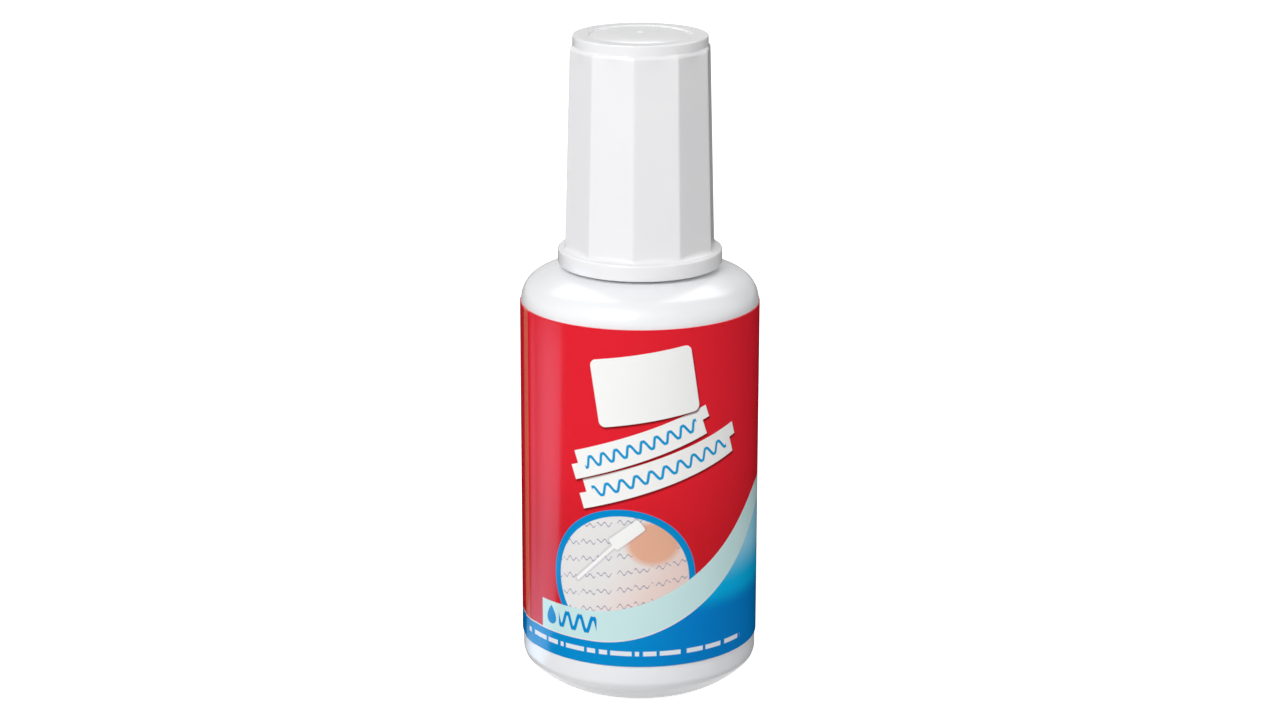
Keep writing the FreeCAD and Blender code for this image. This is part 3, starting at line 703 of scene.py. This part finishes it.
makeWiper(wiperForm, bottleForm["neckTop"], plasticFinish("wiperPlastic", wiperLook))
makeWasher(washerForm, plasticFinish("washerFoam", washerLook))
makeFluid(fluidForm, bottleForm, ballForm, plasticFinish("correctionWhite", fluidLook))
makeBall(ballForm, steelFinish("ballSteel", ballLook))
print("wiper, washer, fluid and ball made")


# brush: stem, bristles and anchor

stemForm = {
    "socketRadius": 1.3, "socketTop": 24.0, "end": 19.0, "tipRadius": 1.75, "tipTop": 27.0, "radius": 2.0,
    "discRadius": 6.7, "discBottom": washerForm["bottom"] + washerForm["thickness"], "discThickness": 1.0,
    "headRadius": 3.0, "headLength": 9.0, "headLead": 0.6, "grooveUp": 4.05, "grooveWidth": 0.9,
    "grooveDepth": 0.3, "round": 0.12, "columns": 96,
}
stemLook = {
    "tone": (243, 244, 245), "otherTone": (248, 248, 246), "toneScale": 0.2, "skinScale": 0.9,
    "shine": 0.5, "roughness": 0.22, "roughnessSpread": 0.14, "skinStrength": 0.2, "skinDepth": 0.03,
}
bristleForm = {
    "count": 260, "thickness": 0.13, "sides": 5, "steps": 14, "top": 23.9, "leave": 19.0, "tip": 4.65,
    "rootRadius": 1.16, "bellyRadius": 1.42, "bellyPlace": 0.32, "tipRadius": 0.42, "tipDome": 1.3,
    "stray": 0.05, "scatter": 0.35, "taper": 0.45, "seedTurn": 137.50776, "seed": 7,
}
bristleLook = {
    "tone": (236, 236, 232), "otherTone": (250, 250, 247), "patchScale": 1.4, "toneTurn": (0.38, 0.62),
    "shine": 0.5, "roughness": 0.15, "roughnessSpread": 0.25,
}
anchorLook = {"roughness": 0.28, "roughnessSpread": 0.16, "stainScale": 3.0}


def makeStem(form, material):
    # hollow tip, rod, disc, and a head with a groove that snaps into the cap's socket
    discTop = form["discBottom"] + form["discThickness"]
    headTop = discTop + form["headLength"]
    socket, tip, rod, head = (form[name] for name in ("socketRadius", "tipRadius", "radius", "headRadius"))
    groove, grooveBottom = head - form["grooveDepth"], discTop + form["grooveUp"]
    grooveTop = grooveBottom + form["grooveWidth"]
    profile = rounded([
        (0.0, form["socketTop"]), (socket, form["socketTop"]), (socket, form["end"]), (tip, form["end"]),
        (tip, form["tipTop"]), (rod, form["tipTop"] + rod - tip), (rod, form["discBottom"]),
        (form["discRadius"], form["discBottom"]), (form["discRadius"], discTop), (head, discTop),
        (head, grooveBottom), (groove, grooveBottom), (groove, grooveTop), (head, grooveTop),
        (head, headTop - form["headLead"]), (head - form["headLead"], headTop), (0.0, headTop),
    ], form["round"])
    parts = [turnedParts(profile, evenTurns(form["columns"]))]
    makePiece("brushStem", parts, material, "applicator", "applicator_stem")


def makeBristles(form, material):
    # each bristle keeps its place in the bundle, spread as a sunflower's seeds (radius sqrt(i / n), turn
    # i * 137.5), while the bundle's radius goes from root to belly to tip; a thin tube runs down each line
    random = np.random.default_rng(form["seed"])
    number = np.arange(form["count"])
    seat = np.sqrt((number + 0.5) / form["count"])
    turn = number * math.radians(form["seedTurn"])
    share = np.linspace(0.0, 1.0, form["steps"])
    ends = form["tip"] + form["tipDome"] * seat ** 2 + random.uniform(0, form["scatter"], form["count"])
    heights = form["top"] + (ends[:, None] - form["top"]) * share[None, :]
    below = np.clip((form["leave"] - heights) / (form["leave"] - form["tip"]), 0, 1)
    swell = smoothStep(below, 0, form["bellyPlace"])
    close = smoothStep(below, form["bellyPlace"], 1.0)
    bundle = form["rootRadius"] + (form["bellyRadius"] - form["rootRadius"]) * swell
    bundle = bundle + (form["tipRadius"] - bundle) * close
    stray = random.normal(0, form["stray"], (form["count"], 2, 1)) * (swell * (1 - close * 0.5))[:, None, :]
    middleX = seat[:, None] * bundle * np.cos(turn)[:, None] + stray[:, 0]
    middleY = seat[:, None] * bundle * np.sin(turn)[:, None] + stray[:, 1]
    radius = form["thickness"] / 2 * (1 - form["taper"] * share)[None, :, None]
    side = (np.arange(form["sides"]) * 2 * math.pi / form["sides"])[None, None, :]
    across, along = middleX[..., None] + radius * np.cos(side), middleY[..., None] - radius * np.sin(side)
    points = np.stack(np.broadcast_arrays(across, along, heights[..., None]), axis=-1)
    tube = gridFaces(form["steps"], form["sides"])
    perTube = form["steps"] * form["sides"]
    faces = (tube[None] + (number * perTube)[:, None, None]).reshape(-1, 4)
    piece = makePiece("brushBristles", [(points, faces)], material, "applicator", "brush_tuft",
                      sharpAngle=80.0)
    shape = bmesh.new()
    shape.from_mesh(piece.data)
    openEdges = [edge for edge in shape.edges if edge.is_boundary]
    bmesh.ops.holes_fill(shape, edges=openEdges, sides=form["sides"])
    shape.to_mesh(piece.data)
    shape.free()


def makeBristleFinish(look):
    # nylon, pale where the fluid has dried on it
    finish = Finish("bristleNylon", {"Specular IOR Level": look["shine"], "IOR": 1.53})
    patches = finish.noise(finish.place(), look["patchScale"], 3.0)
    finish.twoTones(patches, patches, look)
    return finish.material


makeStem(stemForm, plasticFinish("stemPlastic", stemLook))
makeBristles(bristleForm, makeBristleFinish(bristleLook))
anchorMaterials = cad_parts["tuft_anchor"].data.materials
anchorMaterials.clear()
anchorMaterials.append(steelFinish("anchorSteel", anchorLook))
print("brush made")


# cap

capForm = {
    "bottom": bottleForm["shoulderTop"] + 0.15, "flangeRadius": 10.2, "flangeTop": 56.807, "flangeEdge": 0.3,
    "flangeRise": 0.3, "facets": 10, "firstCorner": -5.0, "footRadius": 9.5, "topRadius": 8.8,
    "facetFoot": 56.607, "facetTop": 82.107, "cornerRadius": 0.6, "footFillet": 0.7, "rimRadius": 8.3,
    "top": 83.307, "rimEdge": 0.18, "crownReach": 6.2, "crownStep": 0.2, "crownSlope": 0.15,
    "crownRise": 0.5, "crownPower": 4, "gateRadius": 0.5, "gateHeight": 0.1, "boreRadius": 7.35,
    "boreLead": 0.4, "boreTop": stemForm["discBottom"] + stemForm["discThickness"], "cavityFoot": 7.2,
    "cavityHead": 6.9, "ceiling": 81.707, "bossRadius": 4.2, "socketRadius": 3.05, "ribCount": 5,
    "ribThickness": 0.9, "ribSink": 0.2, "ribClear": 0.05, "threadDepth": 0.48, "blend": 0.25,
    "innerRound": 0.15, "stepRound": 0.09, "gateRound": 0.05, "boreRows": 60, "crownRows": 48,
    "flatColumns": (-16.6, 16.6, 11), "cornerColumns": (-18.0, -17.75, -17.5, -17.1),
    "thread": {"start": 56.0, "pitch": 3.0, "laps": 2.5, "crest": 0.45, "flank": 0.42, "runIn": 0.12},
}
capLook = {
    "tone": (244, 244, 245), "otherTone": (242, 242, 244), "toneScale": 0.08, "skinScale": 2.6,
    "shine": 0.5, "roughness": 0.18, "roughnessSpread": 0.08, "skinStrength": 0.1, "skinDepth": 0.015,
}


def facetedRadius(turns, flatDistance, cornerRadius, form):
    # distance from the axis to a regular outline with rounded corners: flatDistance / cos t on a flat, t from
    # its middle, and c cos b + sqrt(r^2 - (c sin b)^2) on a corner, b from it, with its centre c away
    half = math.pi / form["facets"]
    fromMiddle = np.abs((turns - math.radians(form["firstCorner"])) % (2 * half) - half)[None, :]
    fromCorner = half - fromMiddle
    centre = (flatDistance - cornerRadius) / math.cos(half)
    meet = np.arctan((flatDistance - cornerRadius) * math.tan(half) / flatDistance)
    bend = np.sqrt(np.maximum(cornerRadius ** 2 - (centre * np.sin(fromCorner)) ** 2, 0.0))
    flat, corner = flatDistance / np.cos(fromMiddle), centre * np.cos(fromCorner) + bend
    return np.where(fromMiddle < meet, flat, corner)


def softMax(first, second, blend):
    # the larger of two values, rounded where they meet: max + blend * max(1 - |difference| / blend, 0)^2 / 4
    near = np.maximum(1 - np.abs(first - second) / blend, 0)
    return np.maximum(first, second) + blend * near ** 2 / 4


def ribBox(angle, form):
    # one upright plate from the boss to the wall, with its corners given from (across, along, up)
    across = np.array((-0.5, 0.5)) * form["ribThickness"]
    sink = form["ribSink"]
    start, low, high = form["bossRadius"] - sink, form["boreTop"] + form["ribClear"], form["ceiling"] + sink
    ends = ((start, low), (form["cavityFoot"] + sink, low), (start, high), (form["cavityHead"] + sink, high))
    corners = np.array([(out, side, height) for out, height in ends for side in across])
    direction = np.array((math.sin(angle), -math.cos(angle)))
    aside = np.array((math.cos(angle), math.sin(angle)))
    flat = corners[:, :1] * direction + corners[:, 1:2] * aside
    faces = np.array([(0, 2, 3, 1), (4, 5, 7, 6), (0, 1, 5, 4), (2, 6, 7, 3), (0, 4, 6, 2), (1, 3, 7, 5)])
    return np.column_stack((flat, corners[:, 2])), faces


def makeCap(form, material):
    # columns crowd together at the ten corners
    pitch = 360.0 / form["facets"]
    corner = np.array(form["cornerColumns"])
    inFacet = np.concatenate((corner, np.linspace(*form["flatColumns"]), -corner[:0:-1]))
    middles = form["firstCorner"] + pitch / 2 + np.arange(form["facets"]) * pitch
    turns = np.radians((middles[:, None] + inFacet[None, :]).reshape(-1))
    socket, boss, wall = form["socketRadius"], form["bossRadius"], form["boreRadius"]
    ceiling, boreTop = form["ceiling"], form["boreTop"]
    inner = rounded([
        (0.0, ceiling), (socket, ceiling), (socket, boreTop), (boss, boreTop), (boss, ceiling),
        (form["cavityHead"], ceiling), (form["cavityFoot"], boreTop), (wall, boreTop), (wall, boreTop - 0.5),
    ], form["innerRound"])
    bore = line(inner[-1], (wall, form["bottom"] + form["boreLead"]), form["boreRows"])
    lead = [(wall + form["boreLead"], form["bottom"])]
    edge = form["flangeEdge"]
    outerEdge = form["flangeRadius"] - edge
    foot = chain(
        lead, arc(outerEdge, form["bottom"] + edge, edge, -90, 0, 6),
        arc(outerEdge, form["flangeTop"] - edge, edge, 0, 90, 8),
    )
    slope = form["flangeRise"] / (outerEdge - form["cavityHead"])
    fixed = chain(inner, bore, foot)
    threaded = (np.abs(fixed[:, :1] - wall) < shortestStep) & (fixed[:, 1:] < boreTop - 0.3)
    thread = form["threadDepth"] * helixRidge(fixed[:, 1:], turns, form["thread"])
    radii, heights = [], []

    def addRows(across, up):
        across, up, _ = np.broadcast_arrays(across, up, turns[None, :])
        radii.append(across)
        heights.append(up)

    addRows(fixed[:, :1] - threaded * thread, fixed[:, 1:])

    # flange top running in to the facets with a small fillet, up the tapered facets and over their top edge
    halfTurn = math.cos(math.pi / form["facets"])
    span = form["facetTop"] - form["facetFoot"]

    def flatAt(height):
        share = (height - form["facetFoot"]) / span
        return (form["footRadius"] + (form["topRadius"] - form["footRadius"]) * share) * halfTurn

    footLine = facetedRadius(turns, flatAt(form["flangeTop"]), form["cornerRadius"], form)
    reach = np.minimum(form["footFillet"], (outerEdge - footLine) * 0.9)
    inwards = np.linspace(0.12, 1.0, 6)[:, None]
    flangeRow = outerEdge + (footLine + reach - outerEdge) * inwards
    addRows(flangeRow, form["flangeTop"] + slope * (outerEdge - flangeRow))
    fillet = np.radians(np.linspace(11, 90, 8))[:, None]
    addRows(footLine + reach * (1 - np.sin(fillet)), heights[-1][-1:] + reach * (1 - np.cos(fillet)))
    bend, rimRadius, top = form["cornerRadius"], form["rimRadius"], form["top"]
    bendFoot = form["facetTop"] - bend
    up = np.linspace(heights[-1].max() + 0.3, bendFoot, 14)[:, None]
    addRows(facetedRadius(turns, flatAt(up), bend, form), up)
    over = np.radians(np.linspace(6, 90, 15))[:, None]
    inset = bend * (1 - np.cos(over))
    ledge = facetedRadius(turns, flatAt(bendFoot) - inset, np.maximum(bend - inset, 0.02), form)
    addRows(softMax(ledge, rimRadius, form["blend"]), bendFoot + bend * np.sin(over))

    # round rim and, a small step below its land, the crowned top with the gate mark in its middle
    rimEdge, reach, gateRadius = form["rimEdge"], form["crownReach"], form["gateRadius"]
    crownEdge = top - form["crownStep"]
    rim = chain(
        line((rimRadius, form["facetTop"] + 0.3), (rimRadius, top - rimEdge), 3),
        arc(rimRadius - rimEdge, top - rimEdge, rimEdge, 0, 90, 8),
    )
    # the crown falls from its middle by rise * (radius / reach)^power, flat on top with a rolled edge
    across = np.linspace(reach - 0.06, gateRadius + 0.2, form["crownRows"])
    fall = (across / reach) ** form["crownPower"]
    crown = np.column_stack((across, crownEdge + form["crownRise"] * (1 - fall)))
    landEdge = (reach + form["crownSlope"], top)
    step = rounded([rim[-1], landEdge, (reach, crownEdge), crown[0]], form["stepRound"])
    gateFoot = crownEdge + form["crownRise"]
    gateTop = gateFoot + form["gateHeight"]
    gate = rounded([
        (gateRadius + 0.1, gateFoot), (gateRadius, gateFoot), (gateRadius - 0.08, gateTop), (0.0, gateTop),
    ], form["gateRound"])
    last = chain(rim, step, crown, gate)
    addRows(last[:, :1], last[:, 1:])

    radii, heights = np.vstack(radii), np.vstack(heights)
    shell = (around(radii, heights, turns), gridFaces(len(radii), len(turns)))
    ribs = [ribBox(math.pi / 2 + turn, form) for turn in evenTurns(form["ribCount"])]
    makePiece("screwCap", [shell] + ribs, material, "cap", "cap")


makeCap(capForm, plasticFinish("capPlastic", capLook))
print("cap made")


# floor, light and camera

studio = {
    "floorSize": 6.0, "floorTone": 0.86, "bounce": {"near": 0.4, "far": 0.91, "from": 14.0, "to": 23.0},
    "floorLift": 0.88, "skyLight": 0.3, "skyGloss": 0.8,
    "key": {"turn": -28.0, "rise": 40.0, "distance": 0.75, "size": 0.42, "power": 3.6},
    "fill": {"turn": 92.0, "rise": 25.0, "distance": 0.8, "size": 0.6, "power": 0.85},
    "floorCard": {"radii": (15.6, 1500.0), "heights": (0.2, 0.2), "turns": (-180.0, 180.0), "columns": 120},
    "stripeCard": {"radii": (21.0, 190.0), "heights": (0.3, 0.3), "turns": (-116.0, -77.5), "columns": 24,
                   "tint": (0.52, 0.74, 1.0, 1.0), "strength": 3.2, "dimmer": 0.2, "rampShare": 0.7},
    "backCard": {"radii": (400.0, 400.0), "heights": (380.0, 1500.0), "turns": (120.0, 240.0), "columns": 60,
                 "tint": bright, "strength": 4.6},
    "lampTarget": (0.0, 0.0, 0.045),
}
cameraView = {"lens": 87.64, "distance": 0.390, "rise": 16.07, "roll": 0.13, "aim": (0.00003, 0.0, 0.04209)}


def makeFloor(look):
    # a pale sheet, duller near the bottle as a light; the camera and gloss see it lifted to white, and the
    # shadow stays
    bpy.ops.mesh.primitive_plane_add(size=look["floorSize"])
    floor = bpy.context.object
    floor.name = "studioFloor"
    finish = Finish("floorPaper", {
        "Roughness": 1.0, "Specular IOR Level": 0.0, "Emission Strength": look["floorLift"],
    })
    seen = finish.seen()
    tone, bounce = look["floorTone"], look["bounce"]
    x, y, _ = finish.split(finish.place())
    far = (x * x + y * y).root().ramp(bounce["from"], bounce["to"])
    bounced = far * (bounce["far"] - bounce["near"]) + bounce["near"]
    paper = seen * tone + (1.0 - seen) * bounced
    finish.feed(
        Base_Color=finish.mix(paper, black, bright),
        Emission_Color=finish.mix(seen, black, bright),
    )
    floor.data.materials.append(finish.material)


def makeSky(look):
    # white for the camera and for mirrors, dimmer as a light
    world = bpy.data.worlds.new("studioSky")
    bpy.context.scene.world = world
    world.use_nodes = True
    sky = Graph(world.node_tree, "Background", {"Color": bright})
    sky.feed(Strength=sky.seen(look["skyGloss"]).atLeast(look["skyLight"]))


def aimAt(thing, place, target):
    thing.location = place
    thing.rotation_euler = (Vector(target) - Vector(place)).to_track_quat("-Z", "Y").to_euler()


def makeLamp(name, look, target):
    # a square lamp at a turn round the bottle and a rise above its foot
    lamp = bpy.data.lights.new(name, "AREA")
    lamp.shape = "SQUARE"
    lamp.size = look["size"]
    lamp.energy = look["power"]
    holder = addObject(name, lamp)
    turn, rise = math.radians(look["turn"]), math.radians(look["rise"])
    direction = (math.cos(rise) * math.sin(turn), -math.cos(rise) * math.cos(turn), math.sin(rise))
    aimAt(holder, look["distance"] * Vector(direction), target)
    holder.visible_camera = False


def makeCard(name, look, finish):
    # a piece of a ring or band round the bottle that only gloss shows
    turns = np.radians(np.linspace(*look["turns"], look["columns"]))
    ends = np.column_stack((look["radii"], look["heights"]))
    points = around(ends[:, :1], ends[:, 1:], turns).reshape(-1, 3)
    column = np.arange(len(turns) - 1)
    faces = np.stack((column, column + 1, column + 1 + len(turns), column + len(turns)), axis=-1)
    mesh = bpy.data.meshes.new(name)
    mesh.from_pydata((points * mm).tolist(), [], faces.tolist())
    mesh.materials.append(finish.material)
    card = addObject(name, mesh)
    card.visible_camera = card.visible_diffuse = card.visible_shadow = card.visible_transmission = False


def cardFinish(name, strength=0.0, tint=black):
    return Finish(name, {
        "Base Color": black, "Specular IOR Level": 0.0, "Roughness": 1.0,
        "Emission Color": tint, "Emission Strength": strength,
    })


def makeStripeCard(look):
    # gives the label its upright stripe, dimmer towards the back of the bottle
    finish = cardFinish("cardGlow", look["strength"])
    x, y, _ = finish.split(finish.place())
    low, high = (math.radians(end) for end in look["turns"])
    full = low + look["rampShare"] * (high - low)
    share = x.turnWith(y * -1.0).ramp(low, full) * (1.0 - look["dimmer"]) + look["dimmer"]
    finish.feed(Emission_Color=finish.mix(share, black, look["tint"]))
    makeCard("stripeCard", look, finish)


def makeCamera(look):
    camera = bpy.data.cameras.new("photoCamera")
    camera.lens = look["lens"]
    camera.sensor_width = 36.0
    camera.clip_start = 0.01
    holder = addObject("photoCamera", camera)
    rise = math.radians(look["rise"])
    aim = Vector(look["aim"])
    aimAt(holder, aim + look["distance"] * Vector((0.0, -math.cos(rise), math.sin(rise))), aim)
    holder.rotation_euler.rotate_axis("Z", math.radians(look["roll"]))
    bpy.context.scene.camera = holder


makeFloor(studio)
makeSky(studio)
makeLamp("keyLamp", studio["key"], studio["lampTarget"])
makeLamp("fillLamp", studio["fill"], studio["lampTarget"])
makeCard("floorCard", studio["floorCard"], cardFinish("cardDark"))
backCard = studio["backCard"]
makeCard("backCard", backCard, cardFinish("cardBright", backCard["strength"], backCard["tint"]))
makeStripeCard(studio["stripeCard"])
makeCamera(cameraView)
bpy.context.scene.view_settings.view_transform = "Standard"
print("studio made")
